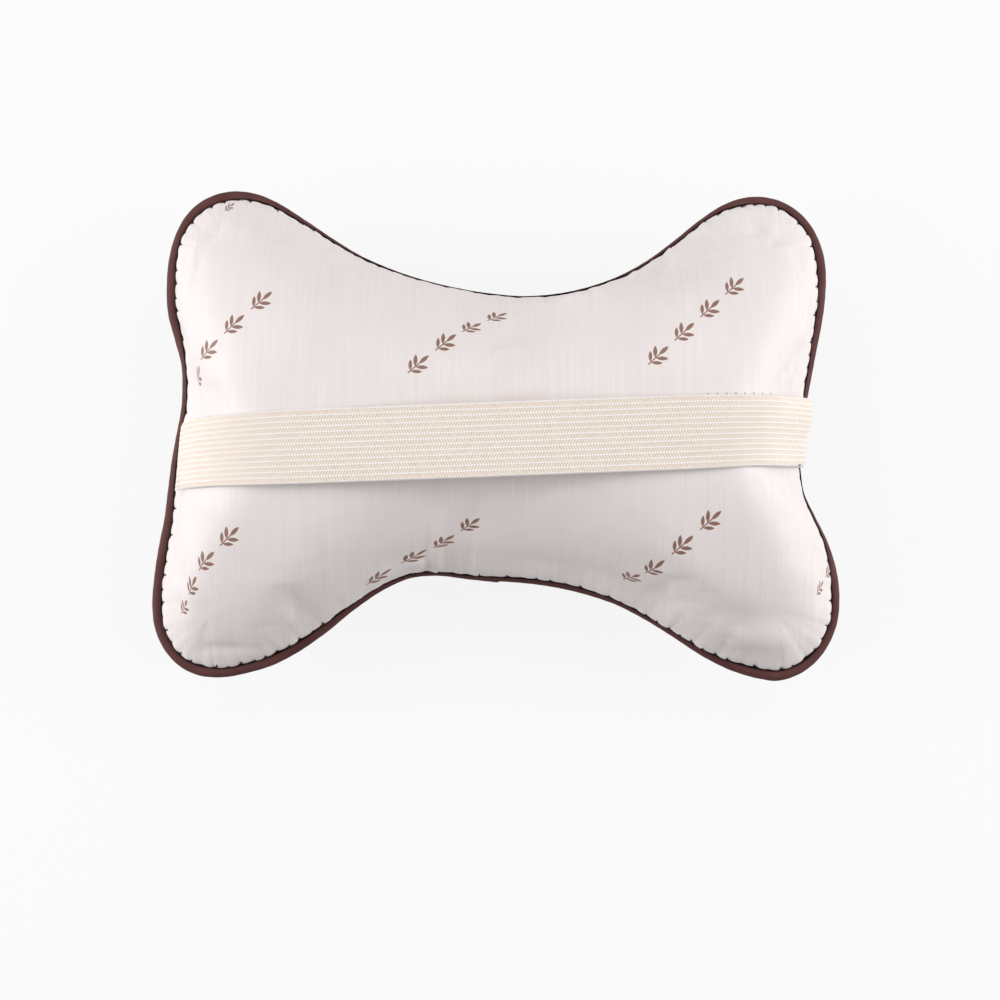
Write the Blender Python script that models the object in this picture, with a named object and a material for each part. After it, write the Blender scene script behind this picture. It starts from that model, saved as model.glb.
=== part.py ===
"""A bone-shaped car neck pillow, lying on its front with its back and its elastic strap upwards.

Metres, +Z up. The origin is on the surface the pillow lies on, under the middle of its seam line.
+X runs along the pillow's width, +Y towards the edge that is uppermost on the headrest.
"""

from math import cos, pi, sin

import bmesh
import bpy
import numpy as np
from mathutils import Vector

# Outer edge of the piping, seen from above, measured from the middle of the pillow.
UPPER_LOBE_REACH = 0.1454  # half the width over the two upper lobes
LOWER_LOBE_REACH = 0.1480  # half the width over the two lower lobes
UPPER_CREST_X = 0.1155  # crest of an upper lobe, sideways from the middle
LOWER_CREST_X = 0.1202
CREST_Y = 0.1068  # half the height over the crests of the lobes
HALF_SHIFT = 0.0011  # the left half was sewn this much higher, and the right half lower
UPPER_SIDE_Y = 0.0672  # height at which the upper lobes are widest
LOWER_SIDE_Y = -0.0732
TOP_WAIST = (0.0125, 0.0612)  # where the neck rests: the innermost place of the upper edge
BOTTOM_WAIST = (-0.0162, -0.0616)
LEFT_WAIST = (-0.1376, 0.0179)  # the shallow hollows of the two short sides
RIGHT_WAIST = (0.1327, -0.0156)
# How far the edge runs on nearly straight before and after each knot, as a share of the way to
# its neighbour, going round counter-clockwise.
FULLNESS = {
    "right_waist": (0.39, 0.36),
    "upper_right_side": (0.36, 0.64),
    "upper_right_crest": (0.60, 0.31),
    "top_waist": (0.60, 0.56),
    "upper_left_crest": (0.22, 0.66),
    "upper_left_side": (0.59, 0.68),
    "left_waist": (0.57, 0.38),
    "lower_left_side": (0.42, 0.59),
    "lower_left_crest": (0.59, 0.42),
    "bottom_waist": (0.50, 0.56),
    "lower_right_crest": (0.24, 0.42),
    "lower_right_side": (0.52, 0.62),
}

# Stuffed shape. Heights are from the plane of the seam.
BACK_CROWN = 0.0480
FRONT_CROWN = 0.0480
REST_FLAT = 0.0030  # how far the front is pressed flat where the pillow lies on it
WAIST_DIP = 0.0090  # how much thinner each side is at the waist than at its two crowns
CROWN_X = 0.0720  # the two thickest places, sideways from the middle
SPINE_REACH = 0.0840  # half the length of the ridge that both crowns lie on
LOBE_POWER = 1.50  # power of the flank's rise: above 1 it leaves the seam at a slant
WAIST_POWER = 0.90  # below 1 it leaves the seam almost upright
LOBE_RADIUS = 0.0300  # edges that bend at least this sharply count as a lobe in full
WAIST_RADIUS = 0.1400  # hollow edges that bend at least this sharply count as a waist in full
WAIST_ROLL = 0.0032  # how far the stuffed cloth hangs over the seam at a waist

# Cloth, cord and elastic.
CLOTH = 0.0006
CLEARANCE = 0.0003  # between pieces that touch
SEAM_ALLOWANCE = 0.0080
SEAM_HOLLOW = 0.0040  # room in the filling past the seam allowances
PIPING_DIAMETER = 0.0052
STRAP_WIDTH = 0.0300
STRAP_THICKNESS = 0.0012
STRAP_LEFT_Y = -0.0094  # the strap was sewn in a little lower on the left
STRAP_RIGHT_Y = 0.0012
STRAP_GRIP = 0.0065  # length of strap held inside the seam
STRAP_LIFT = 0.0005  # off the cloth of the back
STRAP_SAG = 0.0004  # towards the back, between the two crowns
STRAP_LEVEL_X = 0.0300  # half the length of the sagging stretch's level middle
STRAP_LEFT_SWING = 0.0002  # how far the end stands out past the fold of the cloth
STRAP_RIGHT_SWING = 0.0040
STRAP_SWING_HEIGHT = 0.0120  # above the fold, where the end stands out the furthest
PINCH_MARGIN = 0.0120  # cloth drawn in beside each strap end
PINCH_FADE = 0.0140

# Sampling of the surfaces.
HALF_SAMPLES = 40  # stations along the upper edge, and as many along the lower edge
FLANK_RINGS = 6
KNOT_STEPS = 40  # places read along each stretch of the outline's curve
TURN_LENGTH = 0.0300  # extra stations where the edge turns, as a length for each radian
SECTION_STEPS = 6
STRAP_CUTS = 13
STRAP_ACROSS = 3
STRAP_SPACING = 0.0050  # between its cross lines on the flanks
STRAP_SWING_STEPS = 10

SEAM_Z = FRONT_CROWN - REST_FLAT
PLY_TOP = CLEARANCE / 2 + CLOTH  # top of the piping strip's two plies, from the seam plane
SEAM_FACE = PLY_TOP + CLEARANCE  # face of a panel's allowance, from the seam plane
STRAP_ROOM = STRAP_THICKNESS + CLEARANCE

COLOURS = {
    "back_cloth": (0.80, 0.755, 0.745, 1.0),
    "front_cloth": (0.110, 0.052, 0.048, 1.0),
    "piping_cloth": (0.105, 0.050, 0.048, 1.0),
    "cotton_cord": (0.70, 0.66, 0.58, 1.0),
    "polyester_fibre": (0.85, 0.85, 0.84, 1.0),
    "elastic": (0.90, 0.82, 0.70, 1.0),
}


def clear_scene():
    for obj in list(bpy.data.objects):
        bpy.data.objects.remove(obj)


def material(name, roughness):
    made = bpy.data.materials.new(name)
    made.use_nodes = True
    shader = made.node_tree.nodes["Principled BSDF"]
    shader.inputs["Base Color"].default_value = COLOURS[name]
    shader.inputs["Roughness"].default_value = roughness
    shader.inputs["Metallic"].default_value = 0.0
    return made


def add_object(name, data, finish):
    data.materials.append(finish)
    obj = bpy.data.objects.new(name, data)
    bpy.context.scene.collection.objects.link(obj)
    return obj


def add_mesh(name, bm, finish):
    mesh = bpy.data.meshes.new(name)
    bm.to_mesh(mesh)
    bm.free()
    mesh.shade_smooth()
    return add_object(name, mesh, finish)


def smoothstep(value):
    t = min(1.0, max(0.0, value))
    return t * t * (3 - 2 * t)


# Outline


def outline_knots():
    """(name, point, heading) of the places where the outline runs straight along X or Y."""
    up, down, left, right = (0, 1), (0, -1), (-1, 0), (1, 0)
    return [
        ("right_waist", RIGHT_WAIST, up),
        ("upper_right_side", (UPPER_LOBE_REACH, UPPER_SIDE_Y), up),
        ("upper_right_crest", (UPPER_CREST_X, CREST_Y - HALF_SHIFT), left),
        ("top_waist", TOP_WAIST, left),
        ("upper_left_crest", (-UPPER_CREST_X, CREST_Y + HALF_SHIFT), left),
        ("upper_left_side", (-UPPER_LOBE_REACH, UPPER_SIDE_Y), down),
        ("left_waist", LEFT_WAIST, down),
        ("lower_left_side", (-LOWER_LOBE_REACH, LOWER_SIDE_Y), down),
        ("lower_left_crest", (-LOWER_CREST_X, HALF_SHIFT - CREST_Y), right),
        ("bottom_waist", BOTTOM_WAIST, right),
        ("lower_right_crest", (LOWER_CREST_X, -HALF_SHIFT - CREST_Y), right),
        ("lower_right_side", (LOWER_LOBE_REACH, LOWER_SIDE_Y), up),
    ]


def bezier(a, b, c, d, steps):
    """Points of a cubic curve from a to d, without d itself."""
    t = np.arange(steps)[:, None] / steps
    a, b, c, d = (np.array(p, float) for p in (a, b, c, d))
    return (1 - t) ** 3 * a + 3 * (1 - t) ** 2 * t * b + 3 * (1 - t) * t**2 * c + t**3 * d


def outline_curve():
    knots = outline_knots()
    stretches = []
    for (name, start, way), (next_name, end, next_way) in zip(knots, knots[1:] + knots[:1]):
        start, end, way, next_way = (np.array(v, float) for v in (start, end, way, next_way))
        run = end - start
        first = start + way * abs(run @ way) * FULLNESS[name][1]
        second = end - next_way * abs(run @ next_way) * FULLNESS[next_name][0]
        stretches.append(bezier(start, first, second, end, KNOT_STEPS))
    return np.vstack(stretches)


def stations():
    """Points, outward normals and bends of the outline at the stations of every ring.

    A bend is 1 over the radius, and below 0 on a hollow edge. Station 0 is the right waist and
    station HALF_SAMPLES the left one, so each station has a partner on the opposite edge.
    """
    curve = outline_curve()
    ahead = np.roll(curve, -1, axis=0) - curve
    behind = np.roll(ahead, 1, axis=0)
    step = np.linalg.norm(ahead, axis=1)
    cross = behind[:, 0] * ahead[:, 1] - behind[:, 1] * ahead[:, 0]
    turn = np.arctan2(cross, (behind * ahead).sum(axis=1))
    bend = 2 * turn / (step + np.roll(step, 1))
    heading = ahead + behind
    normal = np.stack([heading[:, 1], -heading[:, 0]], axis=1)
    measure = np.concatenate([[0.0], np.cumsum(step + TURN_LENGTH * np.abs(turn))])
    left = measure[[knot[0] for knot in outline_knots()].index("left_waist") * KNOT_STEPS]
    upper = np.linspace(0, left, HALF_SAMPLES, endpoint=False)
    lower = np.linspace(left, measure[-1], HALF_SAMPLES, endpoint=False)
    marks = np.concatenate([upper, lower])
    values = np.hstack([curve, normal, bend[:, None]])
    values = np.vstack([values, values[:1]])
    read = np.stack([np.interp(marks, measure, column) for column in values.T], axis=1)
    read[:, 2:4] /= np.linalg.norm(read[:, 2:4], axis=1)[:, None]
    bends = read[:, 4]
    for _ in range(3):
        bends = (np.roll(bends, 1) + 2 * bends + np.roll(bends, -1)) / 4
    return read[:, :2], read[:, 2:4], bends


# Stuffed surface


class Shell:
    """The stuffed surface: where the cloth of each side lies, from the seam up to its ridge."""

    def __init__(self):
        edge, self.normal, bend = stations()
        self.count = len(edge)
        self.seam = edge - self.normal * PIPING_DIAMETER
        self.cord = edge - self.normal * PIPING_DIAMETER / 2
        share = np.minimum(np.arange(self.count), self.count - np.arange(self.count))
        self.spine = SPINE_REACH * np.cos(pi * share / HALF_SAMPLES)
        self.power = WAIST_POWER + (LOBE_POWER - WAIST_POWER) * np.clip(bend * LOBE_RADIUS, 0, 1)
        self.roll = WAIST_ROLL * np.clip(-bend * WAIST_RADIUS, 0, 1)

    def pinch(self, i, side):
        """1 where a strap end is sewn into the seam of the back, fading to 0 beside it."""
        x, y = self.seam[i]
        if side < 0 or abs(x) < SPINE_REACH:
            return 0.0
        middle = STRAP_LEFT_Y if x < 0 else STRAP_RIGHT_Y
        beside = abs(y - middle) - STRAP_WIDTH / 2 - PINCH_MARGIN
        return 1 - smoothstep(beside / PINCH_FADE)

    def inside_seam(self, i, side, depth):
        """Point this far inside the seam, on the face that a side's allowance is sewn by."""
        room = STRAP_ROOM * self.pinch(i, side)
        flat = self.seam[i] - self.normal[i] * (room + depth)
        return Vector((*flat, SEAM_Z + side * (SEAM_FACE + room)))

    def flank(self, i, side, ring):
        """Point on a side, on ring 0 at the seam and ring FLANK_RINGS on the ridge."""
        angle = pi / 2 * ring / FLANK_RINGS
        fold = self.inside_seam(i, side, 0)
        base = abs(fold.z - SEAM_Z)
        dip = WAIST_DIP * (1 + cos(pi * self.spine[i] / CROWN_X)) / 2
        top = (BACK_CROWN if side > 0 else FRONT_CROWN) - dip
        height = base + (top - base) * sin(angle) ** self.power[i]
        if side < 0:
            height = min(height, SEAM_Z)
        flat = Vector((self.spine[i], 0)).lerp(fold.xy, cos(angle))
        roll = self.roll[i] * (1 - self.pinch(i, side)) * sin(min(2.5 * angle, pi)) ** 2
        flat += Vector(self.normal[i]) * roll
        return Vector((*flat, SEAM_Z + side * height))

    def beneath(self, i, side, ring, depth):
        """Point this deep under a side's face. On ring 0 it keeps clear of the allowance too."""
        point = self.flank(i, side, ring)
        if ring == 0:
            rise = (self.flank(i, side, 1) - point).normalized()
            lean = -rise.xy.dot(Vector(self.normal[i]))
            inward = depth * (1 + lean) / abs(rise.z)
            return point + Vector((*(-self.normal[i] * inward), side * depth))
        if ring == FLANK_RINGS:
            return point - Vector((0, 0, side * depth))
        around = self.flank((i + 1) % self.count, side, ring) - self.flank(i - 1, side, ring)
        upward = self.flank(i, side, ring + 1) - self.flank(i, side, ring - 1)
        return point - side * around.cross(upward).normalized() * depth


def extrude_row(bm, row, edges, points):
    """Extrudes a row of edges onto new points, and returns the new row and its edges."""
    made = bmesh.ops.extrude_edge_only(bm, edges=edges)["geom"]
    new = {v for v in made if isinstance(v, bmesh.types.BMVert)}
    edges = [e for e in made if isinstance(e, bmesh.types.BMEdge) and new.issuperset(e.verts)]
    new_row = [next(w for e in v.link_edges if (w := e.other_vert(v)) in new) for v in row]
    for vert, point in zip(new_row, points):
        vert.co = point
    return new_row, edges


def split_quads(row, new_row):
    """Splits the faces between two rows the same way, so that nested sheets keep their distance."""
    for vert, across in zip(row, new_row[1:] + new_row[:1]):
        for face in vert.link_faces:
            if across in face.verts:
                bmesh.utils.face_split(face, vert, across)
                break


def loft(bm, rows, closed):
    """Adds a sheet of triangles through rows of points, each row closed into a ring or open."""
    row = [bm.verts.new(point) for point in rows[0]]
    pairs = list(zip(row, row[1:]))
    if closed:
        pairs.append((row[-1], row[0]))
    edges = [bm.edges.new(pair) for pair in pairs]
    for points in rows[1:]:
        new_row, edges = extrude_row(bm, row, edges, points)
        split_quads(row, new_row)
        row = new_row


def seal(bm):
    """Merges what meets in a bmesh and turns its highest face up, and the others with it."""
    bmesh.ops.remove_doubles(bm, verts=bm.verts, dist=1e-6)
    bmesh.ops.recalc_face_normals(bm, faces=bm.faces)
    if max(bm.faces, key=lambda f: f.calc_center_median().z).normal.z < 0:
        bmesh.ops.reverse_faces(bm, faces=bm.faces)
    return bm


def panel_rows(shell, side, depth):
    """Rows of points this deep in a side's cloth, from the edge of its allowance to the ridge."""
    every = range(shell.count)
    hem = [shell.inside_seam(i, side, SEAM_ALLOWANCE) + Vector((0, 0, side * depth)) for i in every]
    rings = range(FLANK_RINGS + 1)
    return [hem] + [[shell.beneath(i, side, ring, depth) for i in every] for ring in rings]


def add_panel(shell, side, name, finish):
    bm = bmesh.new()
    face, lining = panel_rows(shell, side, 0), panel_rows(shell, side, CLOTH)
    for rows in (face, lining, [face[0], lining[0]]):
        loft(bm, rows, closed=True)
    add_mesh(name, seal(bm), finish)


def add_filling(shell, finish):
    """The fibre inside, up to the cloth of both sides and hollowed round the seam allowances."""
    depth = SEAM_ALLOWANCE + SEAM_HOLLOW
    every = range(shell.count)
    hollow = [Vector((*(shell.seam[i] - shell.normal[i] * depth), SEAM_Z)) for i in every]
    bm = bmesh.new()
    for side in (1, -1):
        loft(bm, [hollow] + panel_rows(shell, side, CLOTH + CLEARANCE)[2:], closed=True)
    add_mesh("fibre_filling", seal(bm), finish)


# Corded seam


def closed_curve(name, points, height):
    """A closed flat curve through points, this high above the floor."""
    curve = bpy.data.curves.new(name, "CURVE")
    curve.dimensions = "2D"
    curve.fill_mode = "NONE"
    spline = curve.splines.new("POLY")
    spline.points.add(len(points) - 1)
    for spot, (x, y) in zip(spline.points, points):
        spot.co = (x, y, 0, 1)
    spline.use_cyclic_u = True
    obj = bpy.data.objects.new(name, curve)
    obj.location.z = height
    bpy.context.scene.collection.objects.link(obj)
    return obj


def arc(radius, height):
    """Round part of a section, open towards +X between this height above and below its middle."""
    start = np.arcsin(height / radius)
    turns = np.linspace(2 * pi - start, start, SECTION_STEPS + 1)
    return [(radius * cos(turn), radius * sin(turn)) for turn in turns]


def keyhole_section():
    """Cloth wrapped once round the cord, its two plies running into the seam side by side."""
    slit = CLEARANCE / 2
    end = PIPING_DIAMETER / 2 + SEAM_ALLOWANCE
    outside = arc(PIPING_DIAMETER / 2, PLY_TOP)
    inside = arc(PIPING_DIAMETER / 2 - CLOTH, slit)
    return outside + [(end, PLY_TOP), (end, slit)] + inside[::-1] + [(end, -slit), (end, -PLY_TOP)]


def add_piping(shell, strip_finish, cord_finish):
    section = closed_curve("piping_section", keyhole_section(), 0)
    section.hide_render = True
    section.display_type = "WIRE"
    strip = closed_curve("piping", shell.cord, SEAM_Z)
    strip.data.bevel_mode = "OBJECT"
    strip.data.bevel_object = section
    strip.data.materials.append(strip_finish)
    cord = closed_curve("piping_cord", shell.cord, SEAM_Z)
    cord.data.bevel_depth = PIPING_DIAMETER / 2 - CLOTH - CLEARANCE
    cord.data.bevel_resolution = 2
    cord.data.materials.append(cord_finish)


# Strap


def taut_line(points):
    """The line drawn tight over points from the leftmost to the rightmost."""
    line = []
    for point in sorted(points, key=lambda p: (p.x, p.y)):
        while len(line) > 1 and (line[-1] - line[-2]).cross(point - line[-1]) >= 0:
            line.pop()
        line.append(point)
    return line


def lifted(line):
    """A line moved off the cloth below it, so that the strap's flat facets clear its curve."""
    moved = []
    for n, point in enumerate(line):
        run = line[min(n + 1, len(line) - 1)] - line[max(n - 1, 0)]
        moved.append(point + Vector((-run.y, run.x)).normalized() * STRAP_LIFT)
    return moved


def thinned(line):
    """A line without the places that crowd closer than the strap's spacing, both ends kept."""
    kept = [line[0]]
    for point in line[1:-1]:
        if min((point - kept[-1]).length, (point - line[-1]).length) > STRAP_SPACING:
            kept.append(point)
    return kept + [line[-1]]


def strap_half(line, fold, way):
    """Inner face of the strap from its grip in the seam up to a crown, way being 1 or -1 along X.

    line runs from where the end stands out the furthest, and fold is where it leaves the seam.
    """
    leave = fold + Vector((-way, -1)) * CLEARANCE
    grip = leave + Vector((way * STRAP_GRIP, 0))
    rise = (line[1] - line[0]).normalized()
    upright = leave + Vector((0, PIPING_DIAMETER))
    lean = line[0] - rise * PIPING_DIAMETER / 2
    swing = bezier(leave, upright, lean, line[0], STRAP_SWING_STEPS)
    return [grip] + [Vector(point) for point in swing] + thinned(line)


def cut_across(sheet, start, along):
    """Places where an upright plane through start meets a sheet, as (distance along, height)."""
    cut = sheet.copy()
    everything = cut.verts[:] + cut.edges[:] + cut.faces[:]
    across = Vector((-along.y, along.x, 0))
    found = bmesh.ops.bisect_plane(cut, geom=everything, plane_co=start, plane_no=across)
    spots = [v.co - start for v in found["geom_cut"] if isinstance(v, bmesh.types.BMVert)]
    spots = [Vector((spot.dot(along), spot.z)) for spot in spots]
    cut.free()
    return sorted(spots, key=lambda p: p.x)


def strap_rows(sheet):
    """Inner face of the strap, in rows of points from the left seam to the right one.

    The strap is flat from edge to edge. It is drawn tight over the highest part of the back
    under its width, and sags a little between the two crowns.
    """
    left = Vector((LEFT_WAIST[0], STRAP_LEFT_Y, 0))
    right = Vector((RIGHT_WAIST[0], STRAP_RIGHT_Y, 0))
    along = (right - left).normalized()
    across = Vector((-along.y, along.x, 0)) * STRAP_WIDTH
    starts = [left + across * share for share in np.linspace(-0.5, 0.5, STRAP_CUTS)]
    cuts = [cut_across(sheet, start, along) for start in starts]
    start_x = sum(cut[0].x for cut in cuts) / STRAP_CUTS
    span = sum(cut[-1].x for cut in cuts) / STRAP_CUTS - start_x
    under = []
    for cut in cuts:
        scale = span / (cut[-1].x - cut[0].x)
        under += [Vector(((spot.x - cut[0].x) * scale, spot.y)) for spot in cut]
    crowns, level = (
        [Vector(((x - left.x) / along.x - start_x, SEAM_Z + BACK_CROWN + rise)) for x in (-reach, reach)]
        for reach, rise in ((CROWN_X, 0), (STRAP_LEVEL_X, STRAP_LIFT - STRAP_SAG))
    )
    fold = cuts[0][0].y
    folds = [Vector((0, fold)), Vector((span, fold))]
    stands = [
        folds[0] + Vector((-STRAP_LEFT_SWING, STRAP_SWING_HEIGHT)),
        folds[1] + Vector((STRAP_RIGHT_SWING, STRAP_SWING_HEIGHT)),
    ]
    line = taut_line(under + crowns + stands)
    first, last = (line.index(crown) for crown in crowns)
    line = lifted(line)
    profile = strap_half(line[: first + 1], folds[0], 1) + level
    profile += strap_half(line[: last - 1 : -1], folds[1], -1)[::-1]
    rows = []
    for start, cut in zip(starts, cuts):
        scale = (cut[-1].x - cut[0].x) / span
        rows.append([start + along * (cut[0].x + p.x * scale) + Vector((0, 0, p.y)) for p in profile])
    return rows[:: (STRAP_CUTS - 1) // STRAP_ACROSS]


def add_strap(shell, finish):
    """A flat elastic band, caught in both side seams and stretched over the two crowns."""
    sheet = bmesh.new()
    loft(sheet, panel_rows(shell, 1, 0), closed=True)
    bm = bmesh.new()
    loft(bm, strap_rows(sheet), closed=False)
    sheet.free()
    obj = add_mesh("elastic_strap", seal(bm), finish)
    band = obj.modifiers.new("band", "SOLIDIFY")
    band.thickness = STRAP_THICKNESS
    band.offset = 1
    band.use_even_offset = True


def build():
    clear_scene()
    shell = Shell()
    add_panel(shell, 1, "back_panel", material("back_cloth", 0.55))
    add_panel(shell, -1, "front_panel", material("front_cloth", 0.75))
    add_filling(shell, material("polyester_fibre", 0.90))
    add_piping(shell, material("piping_cloth", 0.70), material("cotton_cord", 0.85))
    add_strap(shell, material("elastic", 0.80))


build()
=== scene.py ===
"""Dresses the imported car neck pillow: stuffed cloth, corded seam, stitches and elastic strap.

Metres, +Z up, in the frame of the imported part. The pillow lies on its front, with its back and
its strap upwards, and the camera looks down on it.
"""

from math import pi, radians, sin

import bmesh
import bpy
import numpy as np
from bpy.props import FloatProperty, FloatVectorProperty, IntProperty, PointerProperty
from mathutils import Matrix, Vector
from mathutils.bvhtree import BVHTree
from mathutils.kdtree import KDTree


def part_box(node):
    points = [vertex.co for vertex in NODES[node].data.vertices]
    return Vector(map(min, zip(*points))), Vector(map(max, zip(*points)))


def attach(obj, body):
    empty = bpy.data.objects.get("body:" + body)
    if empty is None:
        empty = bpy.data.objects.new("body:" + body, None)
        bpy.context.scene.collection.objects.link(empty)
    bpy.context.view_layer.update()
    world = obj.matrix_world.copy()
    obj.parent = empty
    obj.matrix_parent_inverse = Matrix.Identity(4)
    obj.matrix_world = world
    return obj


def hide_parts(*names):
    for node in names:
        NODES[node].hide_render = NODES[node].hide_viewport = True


bl_info = {
    "name": "Car neck pillow",
    "version": (1, 0, 0),
    "blender": (4, 5, 0),
    "location": "View3D > Sidebar > Pillow",
    "description": "Cloth, corded seam and elastic strap of a bone-shaped car neck pillow",
    "category": "Object",
}

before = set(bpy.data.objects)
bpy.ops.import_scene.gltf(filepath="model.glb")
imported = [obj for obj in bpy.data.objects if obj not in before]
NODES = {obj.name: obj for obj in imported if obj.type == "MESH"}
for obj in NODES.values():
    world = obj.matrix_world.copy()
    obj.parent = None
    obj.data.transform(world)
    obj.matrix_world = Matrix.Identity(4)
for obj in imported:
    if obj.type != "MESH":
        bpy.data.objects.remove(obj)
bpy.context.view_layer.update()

CORD_LOW, CORD_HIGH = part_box("piping_cord")
SEAM_Z = (CORD_LOW.z + CORD_HIGH.z) / 2
CORD_DIAMETER = CORD_HIGH.z - CORD_LOW.z

MM = 0.001
FOLD_ANGLE = radians(60)  # sharper folds than this end the outer face of a panel
SEAM_FACE = 1.05 * MM  # each panel's allowance lies this far from the plane of the seam
SEAM_ALLOWANCE = 8 * MM
LOOP_SAMPLES = 960

VIEW_DISTANCE = 0.650  # from the camera to the middle of the seam
VIEW_TILT = radians(3.5)
VIEW_AIM = (0, -1.6 * MM)
VIEW_FOOT = np.array(VIEW_AIM) - (0, VIEW_DISTANCE * sin(VIEW_TILT))  # under the camera
VIEW_EYE = Vector((*VIEW_FOOT, SEAM_Z + VIEW_DISTANCE))

# The sewn seam, as shares of its length from the middle of the left end, in millimetres: how far
# it is drawn out from the line it was cut to, and how much of the piping shows beside the back.
SEAM_TABLE = np.array([
    (0.000, 1.7, 2.3), (0.025, -0.2, 3.7), (0.050, 1.0, 4.0), (0.070, 1.6, 3.9),
    (0.090, 0.9, 4.2), (0.118, -0.7, 4.2), (0.138, 0.1, 4.2), (0.156, 0.8, 3.6),
    (0.175, 0.0, 2.4), (0.188, -0.9, 2.1), (0.200, -1.7, 1.8), (0.212, -0.5, 1.6),
    (0.225, 1.5, 1.6), (0.237, 2.0, 1.9), (0.250, 1.2, 2.3), (0.275, -0.7, 2.4),
    (0.293, -1.9, 1.9), (0.312, -1.5, 1.9), (0.338, -0.4, 2.8), (0.362, -1.2, 4.5),
    (0.375, -0.2, 4.5), (0.384, 1.1, 4.1), (0.392, 1.5, 3.6), (0.425, 1.1, 3.1),
    (0.438, 0.4, 2.0), (0.450, 0.6, 1.1), (0.475, 0.3, 0.4), (0.500, 0.0, 1.5),
    (0.530, -0.9, 2.7), (0.568, 0.1, 3.7), (0.594, -1.0, 3.1), (0.613, -0.5, 3.5),
    (0.637, -0.6, 1.8), (0.662, -0.4, 1.3), (0.694, 0.1, 0.7), (0.725, -0.4, 0.6),
    (0.755, 0.4, 0.4), (0.775, 0.0, 0.45), (0.803, -1.0, 1.0), (0.830, -0.2, 1.7),
    (0.850, 0.3, 2.8), (0.875, -0.85, 4.2), (0.900, -0.7, 3.0), (0.925, -0.3, 3.9),
    (0.940, -0.8, 3.7), (0.955, -0.2, 2.0), (0.975, 0.1, 2.2), (0.988, 1.4, 1.7),
])


# Places read from the frame


def points_of(mesh):
    flat = np.empty(len(mesh.vertices) * 3, np.float32)
    mesh.vertices.foreach_get("co", flat)
    return flat.reshape(-1, 3).astype(float)


def normals_of(mesh):
    flat = np.empty(len(mesh.vertices) * 3, np.float32)
    mesh.vertex_normals.foreach_get("vector", flat)
    return flat.reshape(-1, 3)


def set_points(mesh, points):
    mesh.vertices.foreach_set("co", points.astype(np.float32).ravel())
    mesh.update()


def smoothstep(values):
    t = np.clip(values, 0, 1)
    return t * t * (3 - 2 * t)


def merged(node):
    """A bmesh of a CAD node with its loose triangles joined."""
    bm = bmesh.new()
    bm.from_mesh(NODES[node].data)
    bmesh.ops.remove_doubles(bm, verts=bm.verts, dist=0.01 * MM)
    return bm


def cord_stations():
    """Middle of the seam's cord at each station of the frame, in order round the pillow."""
    bm = merged("piping_cord")
    level = [v.co.copy() for v in bm.verts if abs(v.co.z - SEAM_Z) < 0.01 * MM]
    bm.free()
    near = KDTree(len(level))
    for i, point in enumerate(level):
        near.insert(point, i)
    near.balance()
    pairs = {tuple(sorted(i for _, i, _ in near.find_n(point, 2))) for point in level}
    middles = np.array([(level[a] + level[b])[:2] for a, b in pairs]) / 2
    return middles[np.argsort(np.arctan2(middles[:, 1], middles[:, 0]))]


def lengths_along(line):
    """How far along an open line each of its points is."""
    return np.concatenate([[0], np.cumsum(np.linalg.norm(np.diff(line, axis=0), axis=1))])


def read_at(marks, known, line):
    """Points of a line at these marks, where its own points are at the known ones."""
    return np.stack([np.interp(marks, known, column) for column in line.T], axis=1)


def smooth_loop(knots, count):
    """Evenly spaced points of the smooth closed line through the knots, and its length."""
    ahead = np.roll(knots, -1, axis=0) - knots
    step = np.linalg.norm(ahead, axis=1)[:, None]
    slope, last = ahead / step, np.roll(step, 1, axis=0)
    tangent = (slope * last + np.roll(slope, 1, axis=0) * step) / (step + last)
    t = np.linspace(0, 1, 24, endpoint=False)[None, :, None]
    start, end = knots[:, None], np.roll(knots, -1, axis=0)[:, None]
    leave = (tangent * step)[:, None]
    arrive = (np.roll(tangent, -1, axis=0) * step)[:, None]
    line = (2 * t**3 - 3 * t**2 + 1) * start + (3 * t**2 - 2 * t**3) * end
    line = (line + (t**3 - 2 * t**2 + t) * leave + (t**3 - t**2) * arrive).reshape(-1, 2)
    line = np.vstack([line, line[:1]])
    length = lengths_along(line)
    return read_at(np.linspace(0, length[-1], count, endpoint=False), length, line), length[-1]


def smoothed(values, count):
    """Values round the seam, each averaged with its neighbours over an odd count of them."""
    window = np.hanning(count + 2)[1:-1]
    side = count // 2
    wrapped = np.concatenate([values[-side:], values, values[:side]])
    return np.convolve(wrapped, window / window.sum(), "valid")


def seam_values(column):
    """One column of the seam's table, at every sample of the seam."""
    shares = np.arange(LOOP_SAMPLES) / LOOP_SAMPLES
    values = np.interp(shares, SEAM_TABLE[:, 0], SEAM_TABLE[:, column] * MM, period=1)
    return smoothed(values, 13)


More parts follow.
